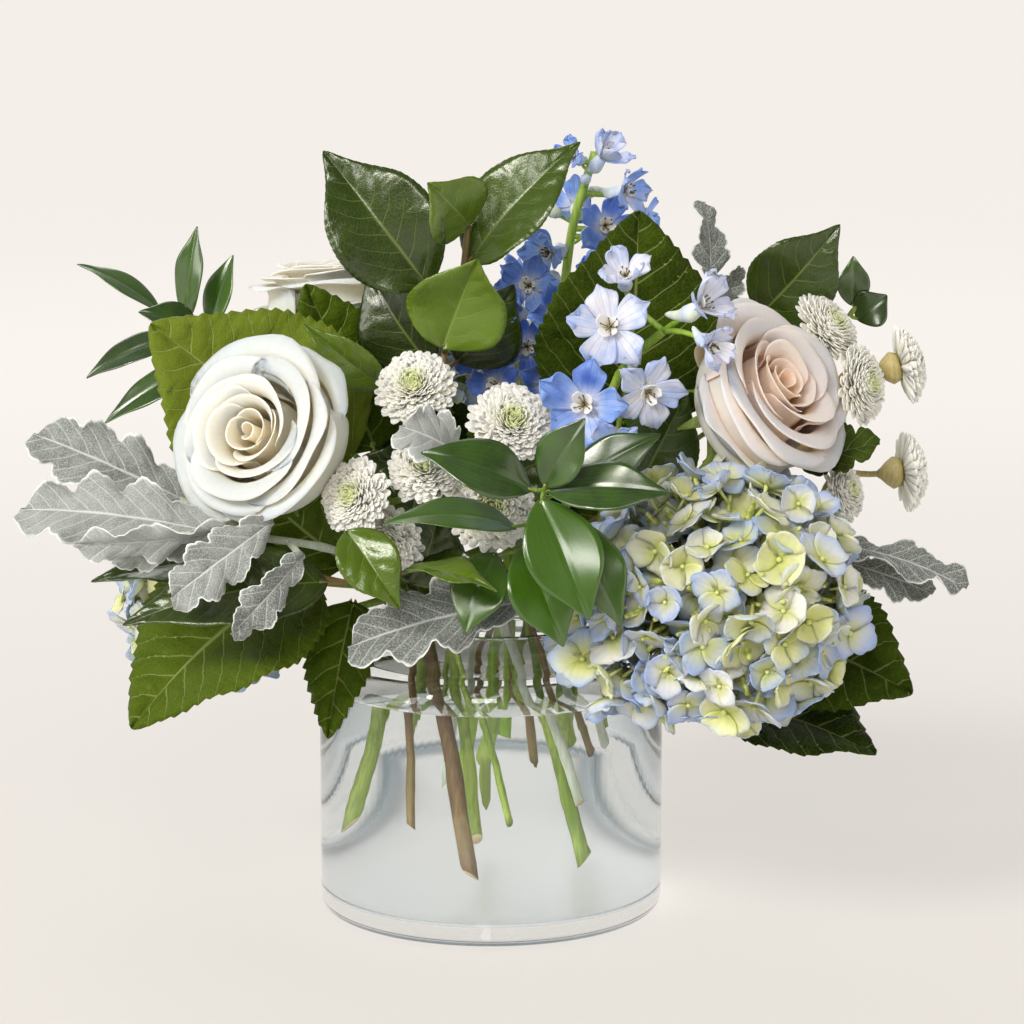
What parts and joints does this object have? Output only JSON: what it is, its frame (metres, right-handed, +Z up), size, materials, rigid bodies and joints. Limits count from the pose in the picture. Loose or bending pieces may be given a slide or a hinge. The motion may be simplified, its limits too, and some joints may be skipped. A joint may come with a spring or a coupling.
{
  "type": "bouquet in a glass vase",
  "caption": "Mixed bouquet of hydrangeas, roses, delphinium, button chrysanthemums and foliage standing in water in a squat round clear glass vase with a narrower collar.",
  "frame": {"origin": "centre of the vase's flat underside, on the surface that it stands on", "axes": "+Z up along the vase's axis; -Y towards the front of the bouquet, which the camera sees; +X to the viewer's right, along the bouquet's width"},
  "size_m": [0.3965, 0.2975, 0.3393],
  "materials": {
    "vase_glass": "clear, thick walled, polished",
    "water": "clear still water",
    "hydrangea_sepal": "soft cream to pale blue sepals, matt",
    "ivory_petal": "ivory white petals, velvety",
    "blush_petal": "pale blush petals, velvety",
    "mum_petal": "white petals with a green-white heart, matt",
    "delphinium_sepal": "lavender blue sepals, thin, soft sheen",
    "green_stem": "fresh green stems",
    "hydrangea_leaf": "deep green veined leaf, soft sheen",
    "salal_leaf": "leathery dark green leaf, satin",
    "ruscus_leaf": "glossy green leaf",
    "dusty_leaf": "felted silver-grey leaf, matt"
  },
  "bodies": {
    "root": {"vase": "vase_glass", "water": "water", "hydrangea_right_head": "hydrangea_sepal", "hydrangea_left_head": "hydrangea_sepal", "hydrangea_back_head": "hydrangea_sepal", "rose_left_bloom": "ivory_petal", "rose_right_bloom": "blush_petal", "rose_back_bloom": "ivory_petal", "mum_head_1": "mum_petal", "mum_head_2": "mum_petal", "mum_head_3": "mum_petal", "mum_head_4": "mum_petal", "mum_head_5": "mum_petal", "mum_head_6": "mum_petal", "mum_head_7": "mum_petal", "mum_head_8": "mum_petal", "mum_head_9": "mum_petal", "mum_head_10": "mum_petal", "mum_head_11": "mum_petal", "mum_head_12": "mum_petal", "rose_left_stem": "green_stem", "rose_right_stem": "green_stem", "rose_back_stem": "green_stem", "delphinium_front": "delphinium_sepal", "delphinium_tall": "delphinium_sepal", "mum_left_stem": "green_stem", "mum_right_stem": "green_stem", "hydrangea_right_stem": "hydrangea_leaf", "hydrangea_left_stem": "hydrangea_leaf", "hydrangea_back_stem": "hydrangea_leaf", "salal_top": "salal_leaf", "salal_right": "salal_leaf", "salal_left": "salal_leaf", "salal_back": "salal_leaf", "ruscus_centre": "ruscus_leaf", "ruscus_left": "ruscus_leaf", "ruscus_right": "ruscus_leaf", "ruscus_back": "ruscus_leaf", "dusty_left": "dusty_leaf", "dusty_front": "dusty_leaf", "dusty_right": "dusty_leaf", "dusty_top": "dusty_leaf"}
  },
  "joints": []
}
